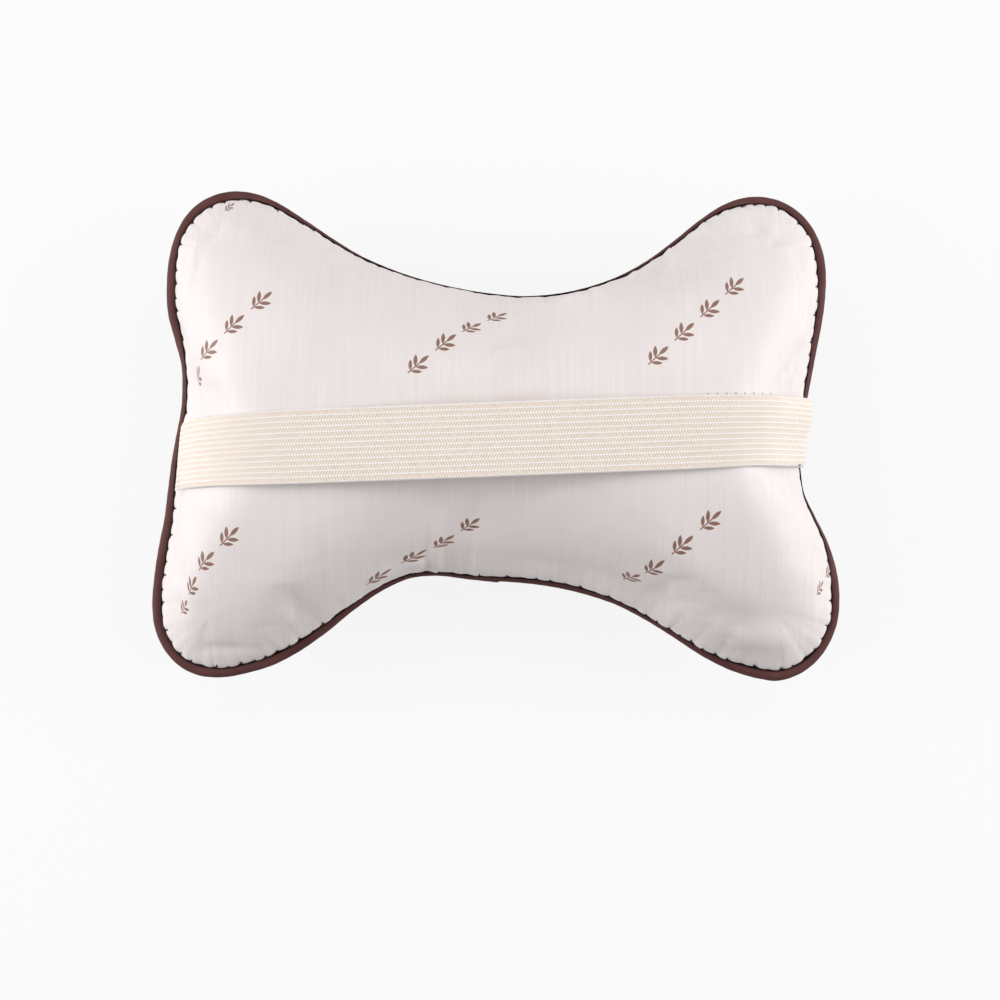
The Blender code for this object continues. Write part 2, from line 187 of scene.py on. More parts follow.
class SeamLine:
    """The middle line of the seam's cord, flat at the height of the seam."""

    def __init__(self):
        self.points, self.length = smooth_loop(cord_stations(), LOOP_SAMPLES)
        self.turn_to_line()
        self.drawn = seam_values(1)
        self.points += self.normal * self.drawn[:, None]
        self.points, self.length = smooth_loop(self.points, LOOP_SAMPLES)
        self.turn_to_line()
        self.step = self.length / LOOP_SAMPLES
        turn = np.roll(self.heading, -1, axis=0) - np.roll(self.heading, 1, axis=0)
        self.bend = smoothed(-(turn * self.normal).sum(axis=1) / (2 * self.step), 41)
        self.tree = KDTree(LOOP_SAMPLES)
        for i, (x, y) in enumerate(self.points):
            self.tree.insert((x, y, 0), i)
        self.tree.balance()

    def turn_to_line(self):
        heading = np.roll(self.points, -1, axis=0) - np.roll(self.points, 1, axis=0)
        self.heading = heading / np.linalg.norm(heading, axis=1)[:, None]
        self.normal = np.stack([self.heading[:, 1], -self.heading[:, 0]], axis=1)

    def nearest(self, points):
        """For each point: its index on the line, its length along it and how far inside it is."""
        index = np.array([self.tree.find((x, y, 0))[1] for x, y in points[:, :2]])
        offset = points[:, :2] - self.points[index]
        along = index * self.step + (offset * self.heading[index]).sum(axis=1)
        inside = -(offset * self.normal[index]).sum(axis=1)
        return index, along, inside

    def at(self, along):
        """Points, headings and outward normals at these lengths along the line."""
        known = np.arange(LOOP_SAMPLES + 1) * self.step
        return [
            read_at(along % self.length, known, np.vstack([values, values[:1]]))
            for values in (self.points, self.heading, self.normal)
        ]


SEAM = SeamLine()


# Shared helpers for pieces


def evaluated_mesh(obj):
    """A copy of an object's mesh with its modifiers applied."""
    return bpy.data.meshes.new_from_object(obj.evaluated_get(bpy.context.evaluated_depsgraph_get()))


def link(name, data):
    obj = bpy.data.objects.new(name, data)
    bpy.context.scene.collection.objects.link(obj)
    return obj


def discard(obj):
    data = obj.data
    bpy.data.objects.remove(obj)
    if isinstance(data, bpy.types.Mesh):
        bpy.data.meshes.remove(data)
    else:
        bpy.data.curves.remove(data)


def add_piece(name, mesh, finish, stands_for=()):
    """Adds a finished piece that rides with the pillow and stands for some CAD nodes."""
    old = bpy.data.objects.get(name)
    if old:
        discard(old)
    mesh.materials.clear()
    mesh.materials.append(finish)
    mesh.shade_smooth()
    obj = link(name, mesh)
    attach(obj, "root")
    if stands_for:
        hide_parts(*stands_for)
    return obj


def mesh_of(bm, name):
    mesh = bpy.data.meshes.new(name)
    bm.to_mesh(mesh)
    bm.free()
    return mesh


def tree_of(obj):
    """A search tree of an object's faces."""
    bm = bmesh.new()
    bm.from_mesh(obj.data)
    tree = BVHTree.FromBMesh(bm)
    bm.free()
    return tree


class Finish:
    """A procedural material, built one node at a time."""

    def __init__(self, name, **sockets):
        self.material = bpy.data.materials.new(name)
        self.material.use_nodes = True
        self.tree = self.material.node_tree
        self.shader = self.tree.nodes["Principled BSDF"]
        for socket, value in sockets.items():
            self.shader.inputs[socket.replace("_", " ")].default_value = value

    def node(self, kind, inputs=None, output=0, **settings):
        """Adds a node and returns one output. inputs are values or other nodes' outputs."""
        node = self.tree.nodes.new("ShaderNode" + kind)
        for key, value in settings.items():
            setattr(node, key, value)
        for key, value in (inputs or {}).items():
            if isinstance(value, bpy.types.NodeSocket):
                self.tree.links.new(value, node.inputs[key])
            else:
                node.inputs[key].default_value = value
        return node.outputs[output]

    def math(self, operation, *values):
        return self.node("Math", dict(enumerate(values)), operation=operation)

    def add(self, a, b):
        return self.math("ADD", a, b)

    def minus(self, a, b):
        return self.math("SUBTRACT", a, b)

    def times(self, a, b):
        return self.math("MULTIPLY", a, b)

    def size(self, value):
        return self.math("ABSOLUTE", value)

    def below(self, value, limit):
        return self.math("LESS_THAN", value, limit)

    def swing(self, value, amount):
        """A noise moved to lie on both sides of 0, over this amount."""
        return self.times(self.minus(value, 0.5), amount)

    def place(self):
        return self.node("TexCoord", output="Object")

    def layout(self, name):
        return self.node("UVMap", uv_map=name)

    def axes(self, vector):
        """The first two parts of a vector."""
        outputs = self.node("SeparateXYZ", {0: vector}).node.outputs
        return outputs[0], outputs[1]

    def scaled(self, vector, scale, turn=0.0):
        return self.node("Mapping", {"Vector": vector, "Scale": scale, "Rotation": (0, 0, turn)})

    def noise(self, vector, scale, detail=2.0):
        return self.node("TexNoise", {"Vector": vector, "Scale": scale, "Detail": detail})

    def ramp(self, value, low, high):
        """0 below low and 1 above high, with a smooth rise between."""
        inputs = {"Value": value, "From Min": low, "From Max": high}
        return self.node("MapRange", inputs, interpolation_type="SMOOTHSTEP")

    def mix(self, factor, a, b):
        """A colour between a and b, which are colours or other nodes' outputs."""
        a, b = (c if isinstance(c, bpy.types.NodeSocket) else (*c, 1) for c in (a, b))
        return self.node("Mix", {0: factor, 6: a, 7: b}, 2, data_type="RGBA")

    def colour(self, value):
        self.tree.links.new(value, self.shader.inputs["Base Color"])

    def roughness(self, value):
        self.tree.links.new(value, self.shader.inputs["Roughness"])

    def bump(self, height, distance, strength=1.0):
        inputs = {"Height": height, "Distance": distance, "Strength": strength}
        self.tree.links.new(self.node("Bump", inputs), self.shader.inputs["Normal"])


# Stuffed cushion


def outer_skin(node, side):
    """Mesh of the outer face of a panel, without its lining and its seam allowance."""
    bm = merged(node)
    start = max(bm.faces, key=lambda f: side * f.calc_center_median().z)
    kept, open_faces = {start}, [start]
    while open_faces:
        for edge in open_faces.pop().edges:
            if edge.calc_face_angle(pi) < FOLD_ANGLE:
                found = [f for f in edge.link_faces if f not in kept]
                kept.update(found)
                open_faces += found
    bmesh.ops.delete(bm, geom=[f for f in bm.faces if f not in kept], context="FACES")
    return mesh_of(bm, node + "_skin")


def joined_skins():
    """One closed mesh of quads from the outer faces of both panels."""
    bm = bmesh.new()
    for node, side in (("back_panel", 1), ("front_panel", -1)):
        skin = outer_skin(node, side)
        bm.from_mesh(skin)
        bpy.data.meshes.remove(skin)
    bmesh.ops.bridge_loops(bm, edges=[e for e in bm.edges if e.is_boundary])
    bmesh.ops.join_triangles(
        bm, faces=bm.faces, angle_face_threshold=radians(50), angle_shape_threshold=radians(120)
    )
    bmesh.ops.recalc_face_normals(bm, faces=bm.faces)
    return mesh_of(bm, "joined_skins")


def remeshed(mesh, voxel):
    """An even mesh of the same shape, without creases narrower than a voxel."""
    obj = link("start", mesh)
    rounding = obj.modifiers.new("rounding", "SUBSURF")
    rounding.levels = rounding.render_levels = 2
    even = obj.modifiers.new("even", "REMESH")
    even.mode = "VOXEL"
    even.voxel_size = voxel
    result = evaluated_mesh(obj)
    discard(obj)
    return result


def stuffed(mesh, cloth):
    """The mesh after its cloth has been blown up from inside, held along the seam."""
    start = points_of(mesh)
    _, _, inside = SEAM.nearest(start)
    away = np.hypot(np.maximum(inside, 0), start[:, 2] - SEAM_Z)
    held = [int(i) for i in np.flatnonzero(away < cloth.held_band)]
    give = smoothstep((away - cloth.held_band) / cloth.free_band)[:, None]
    start -= normals_of(mesh) * cloth.shrink * give
    set_points(mesh, start)
    obj = link("stuffed", mesh)
    obj.vertex_groups.new(name="held").add(held, 1.0, "REPLACE")
    modifier = obj.modifiers.new("cloth", "CLOTH")
    settings = modifier.settings
    settings.vertex_group_mass = "held"
    settings.use_pressure = True
    settings.uniform_pressure_force = cloth.pressure
    settings.effector_weights.gravity = 0
    settings.shrink_min = -cloth.ease
    settings.tension_stiffness = cloth.stiffness
    settings.compression_stiffness = cloth.stiffness
    settings.bending_stiffness = cloth.bending
    modifier.collision_settings.use_collision = False
    for step in range(1, cloth.steps + 1):
        bpy.context.scene.frame_set(step)
    result = evaluated_mesh(obj)
    bpy.context.scene.frame_set(1)
    discard(obj)
    moved = points_of(result) - start
    most = cloth.most_swell * give
    length = np.maximum(np.linalg.norm(moved, axis=1)[:, None], 1e-9)
    set_points(result, start + moved * np.minimum(1, most / length))
    return result


FINE_RISE, FINE_DEPTH = 6 * MM, 8 * MM  # over and inside the seam, where the back is finer


def half_of(mesh, side):
    """One side of the cushion down to its seam, finely divided, and the back finer at its edge."""
    bm = bmesh.new()
    bm.from_mesh(mesh)
    level = (0, 0, SEAM_Z + side * SEAM_FACE)
    geom = bm.verts[:] + bm.edges[:] + bm.faces[:]
    bmesh.ops.bisect_plane(bm, geom=geom, plane_co=level, plane_no=(0, 0, side), clear_inner=True)
    obj = link("half", mesh_of(bm, "half"))
    fine = obj.modifiers.new("fine", "SUBSURF")
    fine.levels = fine.render_levels = 2
    result = evaluated_mesh(obj)
    discard(obj)
    if side > 0:
        bm = bmesh.new()
        bm.from_mesh(result)
        low = [v for v in bm.verts if v.co.z < SEAM_Z + FINE_RISE]
        _, _, inside = SEAM.nearest(np.array([v.co for v in low]))
        near = {v for v, depth in zip(low, inside) if depth < FINE_DEPTH}
        edges = [e for e in bm.edges if near.issuperset(e.verts)]
        bmesh.ops.subdivide_edges(bm, edges=edges, cuts=1, use_grid_fill=True)
        bm.to_mesh(result)
        bm.free()
    return result


# Creases of the back, seen from above: start, end, width and height.
BACK_CREASES = [
    ((-0.0262, -0.0640), (-0.0245, -0.0420), 0.0022, 0.0011),
    ((-0.0080, -0.0650), (-0.0070, -0.0460), 0.0024, 0.0007),
    ((0.0720, -0.0760), (0.1010, -0.0905), 0.0060, 0.0012),
    ((0.1010, -0.0905), (0.1270, -0.0890), 0.0060, 0.0010),
    ((0.1160, 0.0210), (0.1220, 0.0300), 0.0020, 0.0005),
    ((0.1240, 0.0205), (0.1310, 0.0330), 0.0018, 0.0005),
    ((-0.1250, -0.0250), (-0.1180, -0.0350), 0.0022, 0.0004),
]
# Waves that the seam gathers into the cloth: length of the wave, height and reach from the seam.
SEAM_GATHERS = [(0.0170, 0.00026, 0.018), (0.0290, 0.00034, 0.026), (0.0110, 0.00018, 0.012)]
STITCH_RHYTHM = 2.7  # radians from one stitch to the next, by which their pull varies
DIMPLE_WIDTH = 0.0010  # along the seam, at a stitch
DIMPLE_FADE = 0.0070  # from the seam into the cloth
CREASE_CLEAR = 0.014  # beside the seam, where the creases are shallow
EDGE_OUT = 0.9 * MM  # from the cord to the outside of the piping, as the camera sees it


def crease_height(points, crease):
    """Height of one crease at each point: a ridge with a shallow valley beside it."""
    (x0, y0), (x1, y1), width, height = crease
    run = np.array([x1 - x0, y1 - y0])
    length = np.linalg.norm(run)
    offset = points[:, :2] - (x0, y0)
    share = offset @ run / length**2
    aside = (offset @ (-run[1], run[0])) / length
    window = smoothstep((share + 0.15) / 0.3) * smoothstep((1.25 - share) / 0.5)
    ridge = np.exp(-((aside / width) ** 2)) - 0.55 * np.exp(-(((aside - 1.7 * width) / width) ** 2))
    return height * window * ridge


def hump(values):
    """0 at 0, rising to 1 at 1 and back to 0 at 3."""
    t = np.clip(values, 0, 3)
    return np.where(t < 1, np.sin(pi / 2 * t), np.cos(pi / 4 * (t - 1)) ** 2)


def back_edge():
    """How far out of the seam's line the back's edge looks from the camera, round the seam."""
    return CORD_DIAMETER / 2 + EDGE_OUT - seam_values(2)


def hang_out(points, cloth):
    """Pushes the back out or in beside the seam until the right width of the piping shows."""
    wanted = back_edge()
    # The further out the cloth hangs, the higher its outermost place.
    level = np.clip(0.0055 + 2 * wanted, 0.004, cloth.hang_height)
    for _ in range(6):
        index, _, inside = SEAM.nearest(points)
        rise = points[:, 2] - SEAM_Z
        lean = (points[:, :2] - VIEW_FOOT) * (rise / (VIEW_DISTANCE - rise))[:, None]
        seen = (lean * SEAM.normal[index]).sum(axis=1) - inside
        near = (rise > 1.4 * MM) & (inside < cloth.hang_reach)
        reach = np.full(LOOP_SAMPLES, -0.01)
        np.maximum.at(reach, index[near], seen[near])
        reach = np.max([np.roll(reach, n) for n in range(-3, 4)], axis=0)
        push = smoothed(wanted - reach, 15)[index]
        fade = hump(rise / level[index]) * smoothstep(1 - inside / cloth.hang_reach)
        points[:, :2] += SEAM.normal[index] * (push * fade)[:, None]


def stitch_marks(cloth):
    """Lengths along the seam at which its stitches pull the cloth in, unevenly spaced."""
    count = round(SEAM.length / cloth.stitch)
    marks = np.arange(count) * SEAM.length / count
    return marks + 0.14 * cloth.stitch * (np.sin(marks / 0.037) + np.sin(marks / 0.0153 + 1))


def dress(mesh, side, cloth):
    """Shapes the seam's puckers and the creases into one side, and sews its edge to the seam."""
    points = points_of(mesh)
    normals = normals_of(mesh).astype(float)
    index, along, inside = SEAM.nearest(points)
    rise = side * (points[:, 2] - SEAM_Z)
    away = np.hypot(np.maximum(inside - cloth.fold_inside, 0), np.maximum(rise, 0))
    marks = stitch_marks(cloth)
    after = np.searchsorted(marks, along % SEAM.length) % len(marks)
    gaps = [
        np.abs((along - marks[n] + SEAM.length / 2) % SEAM.length - SEAM.length / 2)
        for n in (after, after - 1)
    ]
    gap = np.minimum(*gaps)
    nearer = np.where(gaps[0] < gaps[1], after, after - 1) % len(marks)
    deep = 0.55 + 0.45 * np.sin(STITCH_RHYTHM * nearer)
    fade = np.exp(-away / DIMPLE_FADE)
    height = -cloth.scallop * (0.25 + deep * np.exp(-((gap / DIMPLE_WIDTH) ** 2))) * fade
    height += 0.35 * cloth.scallop * smoothstep(gap / (0.5 * cloth.stitch)) * fade
    for n, (wave, amount, reach) in enumerate(SEAM_GATHERS):
        phase = 2 * pi * along / wave + 2.1 * n + 1.3 * np.sin(along / (wave * 1.7) + n)
        swell = np.sin(phase) * (0.6 + 0.4 * np.sin(along / (wave * 3.1) + 2 * n))
        rough = 0.45 + 0.55 * np.clip(np.abs(SEAM.bend[index]) * 0.03, 0, 1)
        height += amount * rough * swell * np.exp(-away / reach) * smoothstep(away / 0.004)
    if side > 0:
        clear = 0.25 + 0.75 * smoothstep(away / CREASE_CLEAR)
        for crease in BACK_CREASES:
            height += crease_height(points, crease) * clear
    drawn = SEAM.drawn[index] * smoothstep(1 - inside / cloth.hang_reach)
    points[:, :2] += SEAM.normal[index] * drawn[:, None]
    if side > 0:
        hang_out(points, cloth)
    points += normals * height[:, None]
    points[:, 2] = np.maximum(points[:, 2], 0)
    index, along, inside = SEAM.nearest(points)
    sewn = 1 - smoothstep((rise - SEAM_FACE) / cloth.sewn_height)
    target = SEAM.points[index] - SEAM.normal[index] * cloth.fold_inside
    target = target + SEAM.heading[index] * (along - index * SEAM.step)[:, None]
    points[:, :2] += (target - points[:, :2]) * sewn[:, None]
    set_points(mesh, points)
    return mesh


def add_hem(mesh, side):
    """Turns the cloth's edge in between the seam's layers."""
    bm = bmesh.new()
    bm.from_mesh(mesh)
    for vert in bm.verts:
        if vert.is_boundary:
            vert.co.z = SEAM_Z + side * SEAM_FACE
    edges = [e for e in bm.edges if e.is_boundary]
    made = bmesh.ops.extrude_edge_only(bm, edges=edges)["geom"]
    hem = [v for v in made if isinstance(v, bmesh.types.BMVert)]
    index, _, _ = SEAM.nearest(np.array([v.co for v in hem]))
    for vert, i in zip(hem, index):
        vert.co -= Vector((*SEAM.normal[i], 0)) * SEAM_ALLOWANCE
    bmesh.ops.recalc_face_normals(bm, faces=bm.faces)
    highest = max(bm.faces, key=lambda f: side * f.calc_center_median().z)
    if side * highest.normal.z < 0:
        bmesh.ops.reverse_faces(bm, faces=bm.faces)
    bm.to_mesh(mesh)
    bm.free()


def lay_out(mesh, side):
    """Gives the cloth a flat layout, opened out over the steep part near the seam."""
    points = points_of(mesh)
    index, _, inside = SEAM.nearest(points)
    steep = 1 - smoothstep(inside / 0.055)
    drop = np.maximum(0.030 - side * (points[:, 2] - SEAM_Z), 0)
    flat = points[:, :2] + SEAM.normal[index] * (drop * steep)[:, None]
    layer = mesh.uv_layers.new(name="cloth_lay")
    corners = np.empty(len(mesh.loops), np.int32)
    mesh.loops.foreach_get("vertex_index", corners)
    layer.data.foreach_set("uv", flat[corners].astype(np.float32).ravel())


def filling_mesh(cushion):
    """The fibre just inside the cloth."""
    mesh = cushion.copy()
    set_points(mesh, points_of(mesh) - normals_of(mesh) * 3 * MM)
    return mesh


# Corded seam


def loop_curve(name, points, height, thickness=None):
    """A closed flat curve object, with a scale of its section at each point if it is given."""
    curve = bpy.data.curves.new(name, "CURVE")
    curve.dimensions = "2D"
    curve.fill_mode = "NONE"
    spline = curve.splines.new("POLY")
    spline.points.add(len(points) - 1)
    spline.points.foreach_set("co", np.hstack([points, np.tile((0, 1), (len(points), 1))]).ravel())
    if thickness is not None:
        spline.points.foreach_set("radius", thickness)
    spline.use_cyclic_u = True
    obj = link(name, curve)
    obj.location.z = height
    return obj


def keyhole(diameter, cloth):
    """Section of the piping cloth: once round the cord, its two plies side by side."""
    slit = 0.15 * MM
    turns = np.linspace(2 * pi - 0.3, 0.3, 29)
    outside = np.stack([np.cos(turns), np.sin(turns)], axis=1) * diameter / 2
    inside = outside[::-1] * (diameter / 2 - cloth) / (diameter / 2)
    end = diameter / 2 + SEAM_ALLOWANCE
    tail = [(end, slit + cloth), (end, slit)], [(end, -slit), (end, -slit - cloth)]
    return np.vstack([outside, tail[0], inside, tail[1]])


def swept_mesh(curve, section):
    """Mesh of a curve with this section or round thickness, placed where the curve is."""
    if isinstance(section, float):
        curve.data.bevel_depth = section
        curve.data.bevel_resolution = 4
        mesh = evaluated_mesh(curve)
    else:
        profile = loop_curve("section", section, 0)
        curve.data.bevel_mode = "OBJECT"
        curve.data.bevel_object = profile
        mesh = evaluated_mesh(curve)
        discard(profile)
    mesh.transform(Matrix.Translation((0, 0, curve.location.z)))
    discard(curve)
    return mesh


def piping_scale(piping):
    """Thickness of the piping round the seam, thickest just before its ends' join."""
    along = np.arange(LOOP_SAMPLES) * SEAM.step
    join = SEAM.nearest(np.array([piping.join_at]))[1][0]
    before = (join - along) % SEAM.length
    lap = np.exp(-before / piping.lap_length) * piping.lap_height
    return 1 + lap + 0.010 * np.sin(2 * pi * along / 0.0061) + 0.008 * np.sin(along / 0.0113 + 2)


def piping_mesh(piping):
    curve = loop_curve("piping_line", SEAM.points, SEAM_Z, piping_scale(piping))
    return swept_mesh(curve, keyhole(piping.diameter, piping.cloth))


def on_piping(piping, out, lift):
    """Heights over the seam of the piping's top at these distances out of its middle, round it."""
    radius = piping.diameter / 2 * piping_scale(piping) + lift
    return np.sqrt(np.maximum(radius**2 - out**2, 0))


# Stitches


TICK_SHOWN = 1.4 * MM  # where less of the piping shows, the stitches beside it are hidden
TICK_LOW, TICK_HIGH = 2.2 * MM, 9 * MM  # over the seam
LOOSE_THREAD = 0.16 * MM  # radius


def tube_between(bm, start, end, radius):
    """Adds a short closed thread, a little thinner at its end."""
    run = Vector(end) - Vector(start)
    turn = run.to_track_quat("Z", "Y").to_matrix().to_4x4()
    bmesh.ops.create_cone(
        bm,
        cap_ends=True,
        segments=6,
        radius1=radius,
        radius2=radius * 0.8,
        depth=run.length,
        matrix=Matrix.Translation((Vector(start) + Vector(end)) / 2) @ turn,
    )


def stitch_mesh(back, piping, cloth):
    """Short threads that lie over the edge of the cloth, as the camera sees it, at the stitches."""
    bm = bmesh.new()
    tree = tree_of(back)
    shown, out = seam_values(2), back_edge()
    marks = stitch_marks(cloth)
    for n, (mark, place, heading, normal) in enumerate(zip(marks, *SEAM.at(marks))):
        i = int(mark / SEAM.step) % LOOP_SAMPLES
        if shown[i] < TICK_SHOWN:
            continue
        reach = (0.80 + 0.40 * np.sin(STITCH_RHYTHM * n)) * MM
        reach = reach * np.clip(shown[i] / (3.5 * MM), 0.4, 1)
        slant = heading * 0.4 * MM * np.sin(2.3 * n)
        line = []
        for part in (0.0, 0.25, 0.5, 0.75, 1.0):
            spot = Vector((*(place + normal * (out[i] - reach * part) + slant * part), SEAM_Z))
            hit = tree.ray_cast(VIEW_EYE, spot - VIEW_EYE)[0]
            if hit and TICK_LOW < hit.z - SEAM_Z < TICK_HIGH:
                line.append(hit + (VIEW_EYE - hit).normalized() * 0.5 * piping.thread)
        if len(line) > 1:
            line.insert(0, line[0] + Vector((*normal, -0.5)) * 0.7 * MM)
            for start, end in zip(line, line[1:]):
                tube_between(bm, start, end, piping.thread * 1.25)
    return mesh_of(bm, "seam_stitches")


def valley_mesh(piping):
    """A dark thread between the piping and the edge of the cloth, which also stands for the shadow
    in the valley there: part thread, part painted shadow.
    """
    along = np.arange(LOOP_SAMPLES) * SEAM.step
    uneven = 1.05 + 0.30 * np.sin(along / 0.0043) + 0.25 * np.sin(along / 0.0187 + 1)
    mesh = swept_mesh(loop_curve("run_line", SEAM.points, 0, uneven), piping.thread)
    # It lies on the piping at the back's edge as the camera sees it, so its dark line is thread and
    # painted shadow of the valley.
    out = back_edge() + 0.15 * MM
    height = on_piping(piping, out, 0.1 * MM)
    out -= ((SEAM.points - VIEW_FOOT) * SEAM.normal).sum(axis=1) * height / VIEW_DISTANCE
    shift = np.column_stack([SEAM.normal * out[:, None], SEAM_Z + on_piping(piping, out, 0.1 * MM)])
    points = points_of(mesh)
    index, _, _ = SEAM.nearest(points)
    set_points(mesh, points + shift[index])
    return mesh


# Strap


def strap_ends(slides):
    """Where the middle of the strap leaves the seam, left and right, slid down by this much."""
    low = [v.co for v in NODES["elastic_strap"].data.vertices if v.co.z < SEAM_Z + 2 * MM]
    ends = []
    for side, slide in zip((-1, 1), slides):
        y = np.mean([point.y for point in low if point.x * side > 0]) - slide
        near = np.flatnonzero(SEAM.points[:, 0] * side > 0)
        ends.append(near[np.argmin(np.abs(SEAM.points[near, 1] - y))])
    return ends


def taut(line):
    """The line drawn tight over points that are sorted from left to right."""
    kept = []
    for point in line:
        while len(kept) > 1:
            (ax, az), (bx, bz) = kept[-2:]
            if (bx - ax) * (point[1] - bz) - (bz - az) * (point[0] - bx) < 0:
                break
            kept.pop()
        kept.append(tuple(point))
    return kept


def bezier(a, b, c, d, steps):
    t = np.linspace(0, 1, steps, endpoint=False)[:, None]
    a, b, c, d = (np.array(p, float) for p in (a, b, c, d))
    return (1 - t) ** 3 * a + 3 * (1 - t) ** 2 * t * b + 3 * (1 - t) * t**2 * c + t**3 * d


STRAP_FOLD = SEAM_Z + 1.6 * MM  # height at which the strap leaves the seam
GATHER_REACH = 0.045  # from each end, over which the strap is gathered
END_REACH = 0.050  # from each end, over which it follows the line of the seam
# Tacks beside the strap: the first and the last from its right end, and between them.
TACKS_FROM, TACKS_TO, TACK_PITCH = 0.042, 0.011, 0.0039
# Loose threads at the left end: share of the width, and length in millimetres.
LOOSE_THREADS = ((0.05, 1.0), (0.10, 1.4), (0.13, 0.9), (0.19, 0.7))


class StrapPath:
    """Where the strap runs: along its length, across its width, over the stuffed back."""

    def __init__(self, back, strap, cloth):
        self.strap = strap
        self.ends = strap_ends((strap.left_slide, strap.right_slide))
        left, right = (SEAM.points[i] - SEAM.normal[i] * cloth.fold_inside for i in self.ends)
        self.left, run = left, right - left
        self.span = np.linalg.norm(run)
        self.along = run / self.span
        self.across = np.array([-self.along[1], self.along[0]])
        self.tree = tree_of(back)
        self.profile = self.side_view()

    def cloth_under(self, x, aside):
        """The place on the back's cloth here, or None beside it."""
        spot = self.left + self.along * x + self.across * aside
        return self.tree.ray_cast(Vector((*spot, 1)), Vector((0, 0, -1)))[0]

    def side_view(self):
        """Inner face of the strap as (length along, height), from one grip to the other."""
        strap = self.strap
        asides = np.linspace(-0.5, 0.5, 9) * strap.width
        top = []
        for x in np.arange(4 * MM, self.span - 3 * MM, 2 * MM):
            hits = [self.cloth_under(x, aside) for aside in asides]
            top.append((x, max(hit.z if hit else SEAM_Z for hit in hits) + strap.clearance))
        swung = STRAP_FOLD + strap.swing_height
        first, last = (-strap.left_swing, swung), (self.span + strap.right_swing, swung)
        line = np.array(taut([first, *top, last]))
        rises = []
        for end, way, side in ((0.0, 1, line), (self.span, -1, line[::-1])):
            leave = np.array((end - way * 0.3 * MM, STRAP_FOLD))
            rise = side[1] - side[0]
            lean = side[0] - rise / np.linalg.norm(rise) * 3 * MM
            swing = bezier(leave, leave + (0, 5 * MM), lean, side[0], 24)
            rises.append(np.vstack([[leave + (way * strap.grip, 0)], swing]))
        whole = np.vstack([rises[0], line, rises[1][::-1]])
        length = lengths_along(whole)
        marks = np.linspace(0, length[-1], round(length[-1] / (0.8 * MM)) + 1)
        whole = read_at(marks, length, whole)
        for _ in range(3):
            whole[1:-1] = (whole[:-2] + 2 * whole[1:-1] + whole[2:]) / 4
        return whole

    def length(self):
        return float(np.linalg.norm(np.diff(self.profile, axis=0), axis=1).sum())

    def ends_at(self, aside):
        """How far the seam is from the strap's ends at this place across its width."""
        gaps = []
        for i, x in zip(self.ends, (0, self.span)):
            window = np.arange(i - 30, i + 31) % LOOP_SAMPLES
            offset = SEAM.points[window] - SEAM.normal[window] * 2.6 * MM - self.left
            order = np.argsort(offset @ self.across)
            found = np.interp(aside, (offset @ self.across)[order], (offset @ self.along)[order])
            gaps.append(found - x)
        return gaps

    def surface(self, u, v, lift):
        """Points at shares u along and v across, lifted off the inner face along its normal."""
        strap = self.strap
        marks = u * (len(self.profile) - 1)
        steps = np.arange(len(self.profile))
        slope = np.gradient(self.profile, axis=0)
        slope /= np.linalg.norm(slope, axis=1)[:, None]
        x, z, dx, dz = (np.interp(marks, steps, c) for c in (*self.profile.T, *slope.T))
        x, z = x - dz * lift, z + dx * lift
        to_end = self.span - x
        aside = (v - 0.5) * strap.width
        places, which = np.unique(np.round(aside, 6), return_inverse=True)
        left, right = np.array([self.ends_at(place) for place in places]).T[:, which]
        near_end = smoothstep(1.3 - x / GATHER_REACH) + smoothstep(1.3 - to_end / GATHER_REACH)
        aside = aside * (1 - strap.drawn_in - strap.gathered * near_end)
        free = smoothstep((z - SEAM_Z - 3 * MM) / (8 * MM))
        rounded = strap.corner * (np.exp(-v / 0.04) + np.exp((v - 1) / 0.04))
        left = left + (strap.left_lean * (0.5 - v) + rounded) * free
        bulge = strap.right_bulge * (np.exp(-(((v - 0.70) / 0.22) ** 2)) - 0.3)
        right = right + (bulge - rounded) * free
        x = x + left * smoothstep(1 - x / END_REACH) + right * smoothstep(1 - to_end / END_REACH)
        flat = self.left + self.along * x[:, None] + self.across * aside[:, None]
        return np.hstack([flat, z[:, None]])


def band_mesh(path, strap):
    """The ribbed band, with its layout along and across in a map named strap_lay."""
    columns = strap.ribs * strap.rib_samples
    rows = len(path.profile) - 1
    bm = bmesh.new()
    bmesh.ops.create_grid(bm, x_segments=rows, y_segments=columns, size=0.5)
    u, v = (np.array([vert.co for vert in bm.verts])[:, :2] + 0.5).T
    layer = bm.loops.layers.uv.new("strap_lay")
    length = path.length()
    for face in bm.faces:
        for corner in face.loops:
            x, y, _ = corner.vert.co
            corner[layer].uv = ((x + 0.5) * length, (y + 0.5) * strap.width)
    rib = np.abs(np.cos(pi * strap.ribs * v)) ** 8
    placed = path.surface(u, v, strap.thickness + strap.rib_height * (rib - 1))
    for vert, point in zip(bm.verts, placed):
        vert.co = point
    bmesh.ops.recalc_face_normals(bm, faces=bm.faces)
    if max(bm.faces, key=lambda f: f.calc_center_median().z).normal.z < 0:
        bmesh.ops.reverse_faces(bm, faces=bm.faces)
    return mesh_of(bm, "strap_band")


def edge_mesh(path, strap):
    """Small thread loops along both long edges of the band, and loose threads at its left end."""
    bm = bmesh.new()
    count = round(path.length() / strap.loop_pitch)
    u = (np.arange(count) + 0.5) / count
    for v in (-0.006, 1.006):
        for centre in path.surface(u, np.full(count, v), strap.thickness * 0.5):
            made = bmesh.ops.create_icosphere(bm, subdivisions=1, radius=strap.loop_radius)
            bmesh.ops.translate(bm, verts=made["verts"], vec=centre)
    along = (strap.grip + 15 * MM) / path.length()
    for v, reach in LOOSE_THREADS:
        start = path.surface(np.array([along]), np.array([v]), strap.thickness)[0]
        end = start + np.array([-reach, 2 * v * reach, -0.3 * reach]) * MM
        tube_between(bm, start, end, LOOSE_THREAD)
    return mesh_of(bm, "strap_edges")


